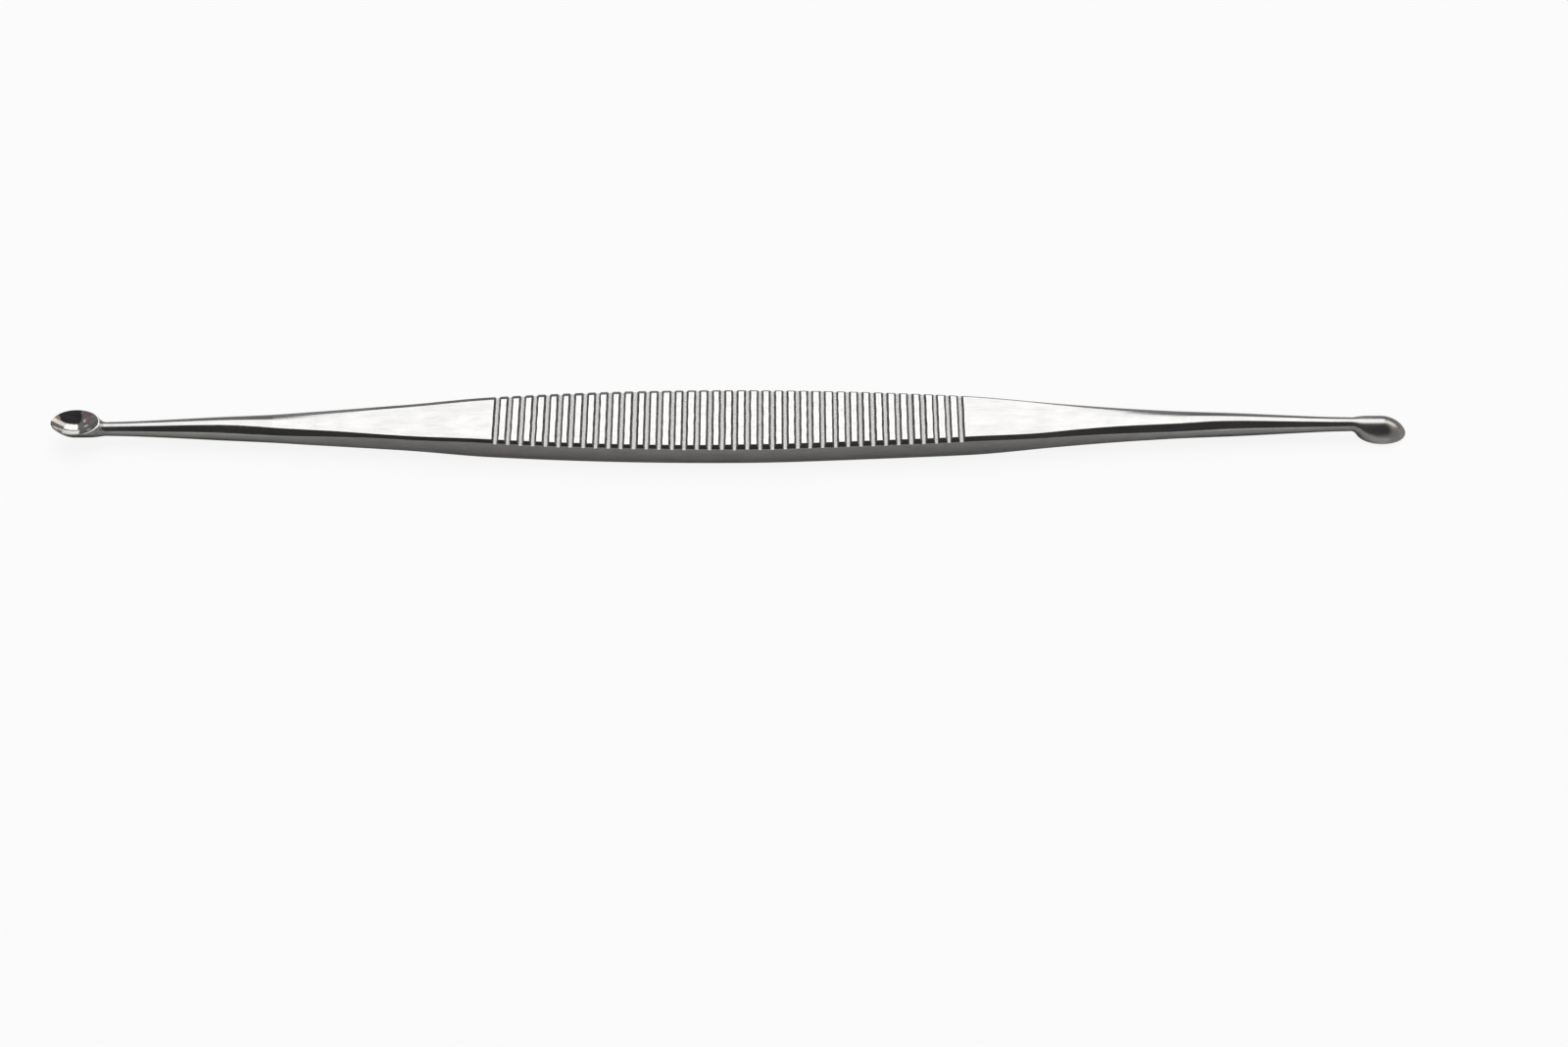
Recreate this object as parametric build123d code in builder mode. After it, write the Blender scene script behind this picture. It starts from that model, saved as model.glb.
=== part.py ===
from build123d import *
import os
from math import hypot, radians, sin, sqrt, tan

os.makedirs("parts", exist_ok=True)

# Bone curette, double-ended: one forged bar of stainless steel.
# X runs along the instrument, Y across the grip, Z up from the surface it lies on.
# The left cup opens upwards and the right cup opens downwards. Millimetres.

# The grip
overall_length = 130.0
grip_width = 7.6
grip_thickness = 2.6
grip_end_share = 0.58  # width at the ends of the bowed sides, as a share of the grip's
edge_bevel = 0.33  # of the four long edges, at 45 degrees

# The shanks
shank_root_share = 0.89  # width of the straight taper where the bowed sides end
shank_thickness = 2.15  # between the faces, where they have thinned
thinning_length = 8.0
forged_bulge = 0.03  # of the forging's faces, as a share of a full round's bulge
grinding_stock = 0.03  # ground off both faces of the grip to leave them flat
neck_diameter = 1.33
neck_length = 1.8
neck_ease = 1.5  # length over which the taper fades into the neck

# Places along each half, as shares of the length from the middle to the tip
full_thickness_share = 0.354  # the two faces start to thin
bevel_growth_share = 0.4  # the bevels start to widen
bow_share = 0.477  # each bowed side eases into the shank
round_start_share = 0.646  # the thickness starts to grow to the width
bevel_end_share = 0.723  # the bevels have taken over the whole section
round_end_share = 0.8

# The cross serrations on the upper face
groove_pitch = 1.2
groove_depth = 0.36
groove_angle = 40.0  # between the two flanks of a groove
groove_root_radius = 0.2

# The cups
cup_length = 4.8
cup_width = 3.24
rim_height = 1.0  # from the bar's axis to the plane of the rim
rim_wall = 0.1
floor_wall = 0.33
cup_fullness = 0.2  # of the bowl's section: 0 is a parabola and 1 an ellipse
heel_blend = 0.3  # length of the rise from the neck to the heel of the rim

# Worked out from the sizes above
half_length = overall_length / 2
axis_height = grip_thickness / 2
neck_radius = neck_diameter / 2
cup_middle = half_length - cup_length / 2
neck_end = half_length - cup_length - heel_blend
neck_start = neck_end - neck_length
full_thickness_end = full_thickness_share * half_length
bevel_growth_start = bevel_growth_share * half_length
bow_end = bow_share * half_length
round_start = round_start_share * half_length
bevel_growth_end = bevel_end_share * half_length
round_end = round_end_share * half_length
grip_end_width = grip_end_share * grip_width
shank_taper = (shank_root_share * grip_end_width / 2 - neck_radius) / (neck_start - bow_end)
bow_slope = (grip_end_width - grip_width) / bow_end

# A round section is drawn with eight arcs, and each of them turns through this angle
eighth = radians(45)
# Handles of a cubic curve that draws a quarter of a circle or of a parabola, as
# shares of its radius
round_handle = 4 / 3 * tan(eighth / 2)
parabola_handle = 1 / 3


def ease(fraction):
    """Rises from 0 to 1 with level ends."""
    t = min(max(fraction, 0.0), 1.0)
    return t * t * (3 - 2 * t)


def shank_radius(distance):
    """A cone that fades into the thin neck."""
    gap = neck_start - distance
    return neck_radius + shank_taper * (gap + hypot(gap, neck_ease)) / 2


def half_width(distance):
    """Plan outline: a bowed side, then a hollow curve into the tapered shank."""
    if distance <= bow_end:
        return grip_width / 2 + bow_slope * distance**2 / (2 * bow_end)
    reach = (grip_end_width / 2 - shank_radius(bow_end)) / (-bow_slope - shank_taper)
    if distance >= bow_end + 2 * reach:
        return shank_radius(distance)
    past = distance - bow_end
    turn_rate = (-shank_taper - bow_slope) / (4 * reach)
    return grip_end_width / 2 + bow_slope * past + turn_rate * past**2


def half_thickness(distance):
    """Side outline: level over the serrations, thinner beyond, then round."""
    thinning = ease((distance - full_thickness_end) / thinning_length)
    slab = (grip_thickness + (shank_thickness - grip_thickness) * thinning) / 2
    roundness = ease((distance - round_start) / (round_end - round_start))
    return slab + (half_width(distance) - slab) * roundness


def bulged(start, end, bulge):
    """Middle point of an arc on the outer side: a bulge of 1 turns it through an eighth."""
    chord_y, chord_z = end[0] - start[0], end[1] - start[1]
    rise = bulge * tan(eighth / 4) / 2
    middle_y, middle_z = (start[0] + end[0]) / 2, (start[1] + end[1]) / 2
    return middle_y - chord_z * rise, middle_z + chord_y * rise


def bar_section(station):
    """Bevelled flat in the grip that turns into a true circle in the neck."""
    d = abs(station)
    growth = ease((d - bevel_growth_start) / (bevel_growth_end - bevel_growth_start))
    bulge = forged_bulge + (1 - forged_bulge) * growth**2
    ground = 1 - ease((d - full_thickness_end) / thinning_length)
    w, t = half_width(d), half_thickness(d) + grinding_stock * ground
    top_flat = (w - edge_bevel) * (1 - growth) + w * sin(eighth / 2) * growth
    side_flat = (t - edge_bevel) * (1 - growth) + t * sin(eighth / 2) * growth
    shoulder = t - top_flat * bulge * tan(eighth / 4)
    flank = w - side_flat * bulge * tan(eighth / 4)
    corners = [
        (-flank, side_flat),
        (-top_flat, shoulder),
        (top_flat, shoulder),
        (flank, side_flat),
        (flank, -side_flat),
        (top_flat, -shoulder),
        (-top_flat, -shoulder),
        (-flank, -side_flat),
    ]
    plane = Plane(origin=(station, 0, axis_height), x_dir=(0, 1, 0), z_dir=(1, 0, 0))
    # Eight separate arcs, so that the round ends keep the corners of the other sections
    arcs = [
        ThreePointArc(start, bulged(start, end, bulge), end)
        for start, end in zip(corners, corners[1:] + corners[:1])
    ]
    return plane.location * Face(Wire(arcs))


def bowl_quarter(width, depth, fullness):
    """Control points from the keel up to the rim, as offsets from the rim's centre."""
    low = parabola_handle + (round_handle - parabola_handle) * fullness
    high = 2 * parabola_handle + (round_handle - 2 * parabola_handle) * fullness
    out = 2 * parabola_handle + (1 - 2 * parabola_handle) * fullness
    return [(0, -depth), (width * low, -depth), (width * out, -depth * high), (width, 0)]


neck_end_radius = shank_radius(neck_end)


def cup_section(station):
    """Closed section of a cup: round at the neck, a deep flared bowl at the middle.
    Where it crosses the plane of the rim, it is as wide as the oval of the rim."""
    u = min((cup_middle - station) / (cup_length / 2), 1.0)
    oval = (cup_width / 2) ** 2 * (1 - u**2)
    width = sqrt(oval + neck_end_radius**2 * u**4)
    centre = rim_height * (1 - u**2)
    heel_rise = ease((station - neck_end) / heel_blend)
    tall_cap = rim_height * width / neck_end_radius
    cap = neck_end_radius + (tall_cap - neck_end_radius) * heel_rise
    fullness = 1 + (cup_fullness - 1) * (1 - u**2)
    lower = bowl_quarter(width, centre + neck_end_radius, fullness)
    upper = bowl_quarter(width, cap, 1)
    plane = Plane(
        origin=(station, 0, axis_height + centre), x_dir=(0, 1, 0), z_dir=(1, 0, 0)
    )
    with BuildSketch(plane) as section:
        with BuildLine():
            if station > neck_end:
                Bezier(*lower)
                Bezier(*[(y, -z) for y, z in reversed(upper)])
                Bezier(*[(-y, -z) for y, z in upper])
                Bezier(*[(-y, z) for y, z in reversed(lower)])
            else:
                r, diagonal = neck_end_radius, neck_end_radius * sqrt(0.5)
                ThreePointArc((0, -r), (diagonal, -diagonal), (r, 0))
                ThreePointArc((r, 0), (diagonal, diagonal), (0, r))
                ThreePointArc((0, r), (-diagonal, diagonal), (-r, 0))
                ThreePointArc((-r, 0), (-diagonal, -diagonal), (0, -r))
        make_face()
    return section.sketch


# The front half of the bowl and its hollow are turned about an upright axis through
# the middle of the rim, then stretched from a circle to the oval of the cup.
stretch = cup_length / cup_width
bowl_depth = rim_height + neck_end_radius

with BuildPart() as bowl_front:
    with BuildSketch(Plane.YZ) as bowl_profile:
        with BuildLine():
            Bezier(*bowl_quarter(cup_width / 2, bowl_depth, cup_fullness))
            Polyline((cup_width / 2, 0), (0, 0), (0, -bowl_depth))
        make_face()
    revolve(axis=Axis((0, 0, 0), (0, 0, -1)), revolution_arc=180)
    scale(by=(stretch, 1, 1))

with BuildPart() as bowl_hollow:
    hollow_width = cup_width / 2 - rim_wall
    hollow_depth = bowl_depth - floor_wall
    with BuildSketch(Plane.XZ) as hollow_profile:
        with BuildLine():
            Bezier(*bowl_quarter(hollow_width, hollow_depth, cup_fullness))
            Polyline((hollow_width, 0), (hollow_width, rim_wall), (0, rim_wall), (0, -hollow_depth))
        make_face()
    revolve(axis=Axis.Z)
    scale(by=(stretch, 1, 1))

# One cup, opening upwards at the right end: the neck swells into the back of the
# bowl, and the plane of the rim cuts the swelling off level.
rim_plane = Plane.XY.offset(axis_height + rim_height)
rim_centre = Location((cup_middle, 0, axis_height + rim_height))
cup_steps = 18  # between the end of the neck and the middle of the cup
cup_stations = [
    neck_end + (cup_middle - neck_end) * step / cup_steps for step in range(cup_steps + 1)
]

with BuildPart() as cup:
    loft(sections=[cup_section(station) for station in cup_stations])
    split(bisect_by=rim_plane, keep=Keep.BOTTOM)
    add(bowl_front.part.moved(rim_centre))
    add(bowl_hollow.part.moved(rim_centre), mode=Mode.SUBTRACT)

# One serration: two steep flanks that run into a wide round root
with BuildSketch() as groove_profile:
    half_angle = radians(groove_angle / 2)
    root_point = groove_depth + groove_root_radius * (1 / sin(half_angle) - 1)
    mouth = (root_point + groove_depth) * tan(half_angle)
    with BuildLine():
        Polyline((-mouth, groove_depth), (0, -root_point), (mouth, groove_depth), close=True)
    make_face()
    fillet(groove_profile.vertices().sort_by(Axis.Y)[0], radius=groove_root_radius)

# The bar runs from neck to neck as one smooth skin through evenly spaced sections
bar_steps = 32  # between the middle and each neck
bar_stations = [neck_end * step / bar_steps for step in range(-bar_steps, bar_steps + 1)]
bar_sections = [bar_section(station) for station in bar_stations]

# As many serrations as the part of full thickness has room for
groove_count = round(2 * full_thickness_end / groove_pitch)

with BuildPart() as curette:
    loft(sections=bar_sections)

    # Both faces of the grip are ground flat
    split(bisect_by=Plane.XY, keep=Keep.TOP)
    split(bisect_by=Plane.XY.offset(grip_thickness), keep=Keep.BOTTOM)

    # The row of serrations crosses the whole upper face and runs out over both edges
    with BuildSketch(Plane.XZ):
        with Locations((0, grip_thickness)):
            with GridLocations(groove_pitch, groove_pitch, groove_count, 1):
                add(groove_profile.sketch)
    extrude(amount=grip_width, both=True, mode=Mode.SUBTRACT)

    # The left cup opens upwards and the right cup downwards
    mirror(cup.part, about=Plane.YZ)
    mirror(cup.part, about=Plane.XY.offset(axis_height))

curette.part.label = "curette"
export_step(curette.part, "parts/curette.step")
print("solids", len(curette.part.solids()), "volume", round(curette.part.volume, 2))
print("serrations", groove_count, "size", curette.part.bounding_box().size)
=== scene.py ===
# %% [markdown]
# # A double-ended bone curette in polished steel
#
# The instrument is one forging: a long bar with a flat, cross-serrated grip in the
# middle, two shanks that thin down to round necks, and a small spoon at each end.
# The solid model gives its size and its place. This scene gives it the finer skin
# that a close picture needs: soft edges, serrations that were cut one by one, ground
# faces and polished necks.
#
# The first cell loads the solid model as a fixed frame. Everything that follows is
# built in the same place and at the same size.

import random
from math import cos, hypot, pi, radians, sin, sqrt, tan

import bmesh
import bpy
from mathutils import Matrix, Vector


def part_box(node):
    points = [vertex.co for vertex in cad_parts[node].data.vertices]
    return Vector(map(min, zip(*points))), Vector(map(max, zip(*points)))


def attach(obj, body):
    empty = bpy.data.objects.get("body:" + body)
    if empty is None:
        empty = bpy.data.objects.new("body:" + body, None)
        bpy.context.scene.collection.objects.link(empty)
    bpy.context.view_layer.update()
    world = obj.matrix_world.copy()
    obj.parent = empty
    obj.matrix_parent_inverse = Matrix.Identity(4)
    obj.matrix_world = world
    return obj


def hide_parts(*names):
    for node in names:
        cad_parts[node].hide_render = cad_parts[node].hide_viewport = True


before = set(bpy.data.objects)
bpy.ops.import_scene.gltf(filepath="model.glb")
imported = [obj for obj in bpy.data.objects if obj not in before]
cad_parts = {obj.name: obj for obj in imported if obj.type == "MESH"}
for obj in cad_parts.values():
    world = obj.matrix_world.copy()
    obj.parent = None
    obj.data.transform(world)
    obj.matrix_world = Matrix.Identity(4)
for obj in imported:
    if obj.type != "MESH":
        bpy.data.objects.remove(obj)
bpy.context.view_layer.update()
low_corner, high_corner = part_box("curette")
scene = bpy.context.scene
print("solid model, lowest and highest corner:", low_corner, high_corner)

# %% [markdown]
# ## The sizes
#
# A few sizes are given, and the rest follows. The length and the grip come from the
# solid model, so that the skin can't grow past it. Lengths are in millimetres until the
# skin is finished, and then one scale turns them into metres.

# %% Sizes of the bar
mm = 0.001
half_length = high_corner.x / mm
grip_width = 2 * high_corner.y / mm
grip_thickness = high_corner.z / mm
axis_height = grip_thickness / 2

bow_end = 31.0             # the bowed sides of the grip end here
grip_end_width = 4.4       # width of the grip there
full_thickness_end = 23.0  # the two faces start to thin here
thinning_length = 8.0
shank_thickness = 2.15

round_start = 42.0         # the thickness grows to the width from here
round_end = 52.0
neck_start = 58.0
neck_end = 59.65
neck_radius = 0.665
neck_ease = 1.5
shank_taper = 0.048        # radius gained for each millimetre towards the grip
print(f"bar: {2 * half_length:.1f} long, {grip_width:.2f} wide, {grip_thickness:.2f} thick")

# %% [markdown]
# ## The outline of the bar
#
# Seen from above, the grip has two bowed sides that run through a hollow curve into
# the shank. Seen from the side, it is level over the serrations, thins a little, and
# then grows round. Two short functions give the half width and the half thickness at
# any distance from the middle.

# %% Width and thickness along the bar
def ease(fraction):
    """Rises from 0 to 1 with level ends."""
    t = min(max(fraction, 0.0), 1.0)
    return t * t * (3 - 2 * t)


def shank_radius(distance):
    gap = neck_start - distance
    return neck_radius + shank_taper * (gap + hypot(gap, neck_ease)) / 2


bow_slope = -(grip_width - grip_end_width) / bow_end
blend_reach = (grip_end_width / 2 - shank_radius(bow_end)) / (-bow_slope - shank_taper)


def half_width(distance):
    if distance <= bow_end:
        return grip_width / 2 + bow_slope * distance**2 / (2 * bow_end)
    if distance >= bow_end + 2 * blend_reach:
        return shank_radius(distance)
    past = distance - bow_end
    turn_rate = (-shank_taper - bow_slope) / (4 * blend_reach)
    return grip_end_width / 2 + bow_slope * past + turn_rate * past**2


def half_thickness(distance):
    thinning = ease((distance - full_thickness_end) / thinning_length)
    slab = (grip_thickness + (shank_thickness - grip_thickness) * thinning) / 2
    roundness = ease((distance - round_start) / (round_end - round_start))
    return slab + (half_width(distance) - slab) * roundness


for distance in (0, 25, 40, 59):
    print(f"at {distance} mm: {2 * half_width(distance):.2f} x {2 * half_thickness(distance):.2f}")

# %% [markdown]
# ## What the grinder's hand left
#
# A drawn outline is perfectly even, and the real instrument isn't. It was ground and
# polished by hand, so one half is a shade fuller than the other, the bevel along the
# far edge was ground wide and shallow on the left half, and the bevels start to widen
# sooner on the right half. These differences are a few tenths of a millimetre,
# but they steer the long reflections, and without them steel looks computed.
#
# Each difference is a small function of the place along the bar. Left is negative,
# and the near side is the one that faces the viewer.

# %% Small differences between the halves
edge_bevel = 0.33
far_bevel_left = (0.52, 0.22)   # width across the face, depth down the side
far_bevel_right = (0.36, 0.31)
near_bevel_left, near_bevel_right = 0.28, 0.36
bevels_meet = 49.0              # the bevels have taken over the whole section
bevels_widen_left, bevels_widen_right = 32.0, 27.5


def bump(x, middle, reach):
    """A smooth rise to 1 at the middle that has died away at the reach."""
    return ease(1 - abs(x - middle) / reach)


def near_fullness(x):
    """How much fuller or slimmer the near side is than the drawn outline."""
    return 0.13 * bump(x, -40, 14) - 0.12 * bump(x, 14, 13)


def near_bevel(x):
    """Size of the near bevel, which grows where the bar swells again past the middle."""
    return near_bevel_left + (near_bevel_right - near_bevel_left) * ease((x + 4) / 6)


def far_bevel(x):
    """Width across the face and depth down the side of the far bevel."""
    left = ease((8 - x) / 22)
    return tuple(right_size + (left_size - right_size) * left
                 for left_size, right_size in zip(far_bevel_left, far_bevel_right))


def bevel_growth(x):
    """Share by which the bevels have widened until the bar is round."""
    start = bevels_widen_left if x < 0 else bevels_widen_right
    return ease((abs(x) - start) / (bevels_meet - start))


print("far bevel on the left and on the right:", far_bevel(-25), far_bevel(25))

# %% [markdown]
# ## One ring round the bar
#
# The skin is made of rings, one behind the other. Each ring has the same number of
# points, and the same point always lies on the same feature: the left corner of the
# upper face, the foot of the bevel, the middle of a side. So the skin flows from the
# flat grip to the round neck without a seam, and every edge stays one clean line.
#
# A ring has eight sides: upper face, bevel, side, bevel, lower face and back up. Near
# each corner there is a point close by, which keeps the corner crisp but not razor
# sharp, as on steel that has been tumbled and polished.

# %% Points of one ring
side_counts = (20, 4, 6, 4, 20, 4, 6, 4)
ring_size = sum(side_counts)
corner_places = [sum(side_counts[:side]) for side in range(8)]
edge_softness = 0.03


def spread(count, margin):
    """Shares from 0 up to 1 along one side, with a point close to each end."""
    margin = min(margin, 1 / count)
    middle = [margin + (1 - 2 * margin) * step / (count - 2) for step in range(count - 1)]
    return [0.0] + middle


print("points in a ring:", ring_size, "with corners at", corner_places)

# %% [markdown]
# In the neck every side is an arc of a circle, and in the grip it is a straight line.
# One helper draws both: it places a point on an arc that turns through a given angle,
# and a turn near nothing gives the straight line. A second helper moves a bevel down to
# the floor of a serration that has been cut through it.

# %% Arcs and cut corners
def along_arc(start, end, turn, share):
    """A point on the arc from start to end that turns through that angle."""
    turn = max(turn, 0.0001)
    chord_y, chord_z = end[0] - start[0], end[1] - start[1]
    angle = (share - 0.5) * turn
    forward = 0.5 + sin(angle) / (2 * sin(turn / 2))
    outward = (cos(angle) - cos(turn / 2)) / (2 * sin(turn / 2))
    return (start[0] + chord_y * forward - chord_z * outward,
            start[1] + chord_z * forward + chord_y * outward)


def cut_corner(top, side, level):
    """Both ends of a bevel, moved down where a serration's floor lies lower."""
    if level is None or level >= top[1]:
        return top, side
    down = min((top[1] - level) / (top[1] - side[1]), 1.0)
    return ((top[0] + (side[0] - top[0]) * down, level),
            (side[0], min(side[1], level - edge_softness)))


print("middle of a quarter turn:", along_arc((1, 0), (0, 1), radians(90), 0.5))

# %% The ring at a place along the bar
round_face = sin(radians(22.5))  # half of one side of the neck, as a share of its radius


def bar_ring(x, cut_level=None):
    """The ring at a place along the bar, round its axis. A cut level lowers the upper
    face to the floor of a serration."""
    growth = bevel_growth(x)
    turn = radians(45) * growth**2
    w, t = half_width(abs(x)), half_thickness(abs(x))

    def edge(width, depth, fullness=0.0):
        face = (w - width) * (1 - growth) + w * round_face * growth
        side = (t - depth) * (1 - growth) + t * round_face * growth
        return ((face + fullness, t - face * tan(turn / 4)),
                (w - side * tan(turn / 4) + fullness, side))

    far_top, far_side = edge(*far_bevel(x))
    near_top, near_side = edge(near_bevel(x), near_bevel(x), near_fullness(x))
    low_face, low_side = edge(edge_bevel, edge_bevel)
    near_low_face, near_low_side = edge(edge_bevel, edge_bevel, near_fullness(x))
    far_top, far_side = cut_corner(far_top, far_side, cut_level)
    near_top, near_side = cut_corner(near_top, near_side, cut_level)
    corners = [
        (-near_top[0], near_top[1]), far_top, far_side, (low_side[0], -low_side[1]),
        (low_face[0], -low_face[1]), (-near_low_face[0], -near_low_face[1]),
        (-near_low_side[0], -near_low_side[1]), (-near_side[0], near_side[1]),
    ]
    ring = []
    for start, end, count in zip(corners, corners[1:] + corners[:1], side_counts):
        length = hypot(end[0] - start[0], end[1] - start[1])
        margin = edge_softness / length * (1 - growth) + growth / count
        ring += [along_arc(start, end, turn, share) for share in spread(count, margin)]
    return ring


print("widest point of the middle ring:", round(max(y for y, z in bar_ring(0)), 2))

# %% [markdown]
# ## The serrations
#
# Thirty-eight grooves cross the upper face and run out over both edges. Each is a
# steep cut with a wide, flattened root, made with a form cutter, and no two are quite
# alike: the depth, the width and the line of each wander by a few hundredths of a
# millimetre. The wander comes from a seeded list, so it is the same at every run.
#
# A groove is made by rings that are set close together and dip to the floor of the
# cut, with one more ring just outside each lip to keep the land beside it flat. Each
# ring also remembers how far it is up the flank, because the flanks get a painted
# shade, a dark colour for the shade inside the cut, while the roots keep a bright
# steel colour.

# %% Profile of a groove
groove_count = 38
groove_pitch = 1.2
groove_depth = 0.39
groove_half_angle = radians(20)
root_radius = 0.21
root_squareness = 5.0  # 2 would be a round root, and more makes it flatter
root_middle = groove_depth - root_radius
lip_softness = 0.012


def root_drop(x):
    """Depth of the root at a distance from the middle of its groove."""
    share = 1 - (x / root_radius) ** root_squareness
    return root_middle + root_radius * share ** (1 / root_squareness)


root_points = [(x, root_drop(x)) for x in (0.0, 0.05, 0.09, 0.125, 0.155, 0.18, 0.197)]
root_reach, flank_foot = root_points[-1]
mouth_reach = root_reach + flank_foot * tan(groove_half_angle)
half_profile = root_points + [
    ((root_reach + mouth_reach) / 2, flank_foot / 2),
    (mouth_reach - lip_softness / 2, lip_softness * 1.5),
    (mouth_reach + lip_softness, 0.0),
    (mouth_reach + 3 * lip_softness, 0.0),
]
profile = [(-x, depth) for x, depth in reversed(half_profile[1:])] + half_profile
print(f"groove: {2 * mouth_reach:.2f} wide, {groove_depth:.2f} deep, {len(profile)} rings each")

# %% [markdown]
# Each ring is a small record: its points, the number of the groove it lies in if any,
# how much of its upper face is flank, which sets how much painted shade it gets, and
# which of its points lie on an edge. The last two become attributes of the mesh, which
# the steel reads further down.

# %% How each groove wanders
wander = random.Random(38)
grooves = []
for number in range(groove_count):
    grooves.append({
        "middle": (number - (groove_count - 1) / 2) * groove_pitch + wander.gauss(0, 0.012),
        "depth": 1 + wander.gauss(0, 0.05),
        "width": 1 + wander.gauss(0, 0.05),
        "waves": [(wander.uniform(0.004, 0.013), wander.uniform(1.6, 5.0), wander.uniform(0, 6.28))
                  for _ in range(4)],
    })
print("first groove: middle at", round(grooves[0]["middle"], 2),
      "and depth times", round(grooves[0]["depth"], 2))

# %% Rings through one groove
bright_root = 0.165  # half the width of the bright strip along a root
flank_fade = 0.025


def lip_line(waves, y):
    """How far the lip of a groove wanders from a straight line."""
    return sum(size * sin(rate * y + phase) for size, rate, phase in waves)


def make_ring(points, groove=None, flank=0.0, edge_places=()):
    """The record of one ring."""
    edges = [1.0 if place in edge_places else 0.0 for place in range(ring_size)]
    return {"points": points, "groove": groove, "flank": flank, "edges": edges}


def groove_rings(number, groove):
    """The rings through one groove, from lip to lip."""
    made = []
    for x, depth in profile:
        station = groove["middle"] + x * groove["width"]
        share = (x / mouth_reach + 1) / 2
        flat = bar_ring(station, axis_height - depth * groove["depth"])
        points = [
            (station + lip_line(groove["waves"][:2], y) * (1 - share)
             + lip_line(groove["waves"][2:], y) * share, y, z)
            for y, z in flat
        ]
        # share of painted shade: 0 on the bright root, 1 on the flanks
        flank = ease((abs(x) - bright_root) / flank_fade)
        on_lip = abs(x) > mouth_reach - lip_softness
        edge_places = list(range(side_counts[0] + 1)) if on_lip else []
        made.append(make_ring(points, number, flank, edge_places + corner_places))
    return made


print("rings through one groove:", len(groove_rings(0, grooves[0])))

# %% Rings of the grip
def plain_rings(stations):
    return [make_ring([(x, y, z) for y, z in bar_ring(x)], edge_places=corner_places)
            for x in stations]


row_end = grooves[-1]["middle"] + mouth_reach
shank_steps = 76
shank_begin = row_end + 0.2
shank_stations = [shank_begin + (neck_end - shank_begin) * step / shank_steps
                  for step in range(shank_steps)]
grip_rings = []
for number, groove in enumerate(grooves):
    grip_rings += groove_rings(number, groove)
    if number + 1 < groove_count:
        grip_rings += plain_rings([(groove["middle"] + grooves[number + 1]["middle"]) / 2])
print("rings over the serrations:", len(grip_rings))

# %% [markdown]
# ## The spoons
#
# Each spoon is a small oval bowl with a sharp rim. Its keel runs on in line with the
# underside of the neck, and the neck swells up behind it into the heel of the rim.
# The left spoon opens upwards and the right one downwards.
#
# The bowl could be a stretched sphere, but the real one is deeper and steeper in the
# middle, so a curve from keel to rim is turned about the middle of the rim and then
# stretched to an oval. The two spoons were ground by hand: the left one is a little
# shorter with a more pointed tip, and the right one is deeper and blunter. The hollow
# sits slightly off the middle, which leaves a broad bright lip at the heel and on the
# near side, and a cutting edge at the tip.

# %% Sizes of the two spoons
heel = 60.2                  # distance from the middle of the bar to the heel of the rim
floor_wall = 0.60
rim_wall = 0.05
lip_slope = 0.5              # the border of the lip falls outwards, as it was sharpened
lip_border = 0.08
hollow_shift = (0.06, 0.01)  # of the hollow, towards the tip and towards the far side
bowl_fullness = 0.2          # of the outside: 0 is a parabola and 1 an ellipse
hollow_fullness = 0.08
heel_flare = 1.15            # how far the neck has widened where the rim begins
left_spoon = {"tip": 64.88, "width": 3.24, "rim": 0.96, "pointed": 0.28}
right_spoon = {"tip": half_length, "width": 3.30, "rim": 1.08, "pointed": -0.2}
for spoon in (left_spoon, right_spoon):
    spoon["length"] = spoon["tip"] - heel
    spoon["middle"] = (spoon["tip"] + heel) / 2
    print("spoon:", {name: round(size, 2) for name, size in spoon.items()})

# %% Curves of a bowl
def bezier(points, t):
    a, b, c, d = (1 - t)**3, 3 * t * (1 - t)**2, 3 * t**2 * (1 - t), t**3
    return tuple(a * p + b * q + c * r + d * s for p, q, r, s in zip(*points))


def bowl_quarter(width, depth, fullness):
    """Curve from the keel up to the rim, as offsets from the middle of the rim."""
    keel_handle = (width * (1 / 3 + 0.219 * fullness), -depth)
    rim_handle = (width * (2 / 3 + fullness / 3), -depth * (2 / 3 - 0.114 * fullness))
    return [(0, -depth), keel_handle, rim_handle, (width, 0)]


def solve(rising, wanted, high):
    """Where a rising function reaches the wanted value, between 0 and high."""
    low = 0.0
    for _ in range(30):
        middle = (low + high) / 2
        if rising(middle) < wanted:
            low = middle
        else:
            high = middle
    return low


def bowl_height(radius, curve):
    """Height of the bowl's curve at a distance from its middle."""
    return bezier(curve, solve(lambda t: bezier(curve, t)[0], radius, 1.0))[1]


def off_middle(along, spoon):
    """Distance along the spoon from its middle, as a radius of its turned curve."""
    u = min(abs(along) / (spoon["length"] / 2), 1.0)
    point = spoon["pointed"] * u**4 if along > 0 else 0.0
    return spoon["width"] / 2 * sqrt(1 - (1 - u**2) * (1 - point))


test_bowl = bowl_quarter(1.6, 1.6, bowl_fullness)
print("height of a test bowl half way out:", round(bowl_height(0.8, test_bowl), 3))

# %% [markdown]
# The outside of a spoon changes from a round neck to a bowl. Behind the middle, each
# section is the lower curve of the bowl with an arch over it, and the level plane of
# the rim cuts the arch off. In front of the middle, it is the turned curve alone.

# %% Outside of a spoon
heel_blend = heel - neck_end
outline_steps = 60
steps_up = [step / outline_steps for step in range(outline_steps + 1)]


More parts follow.
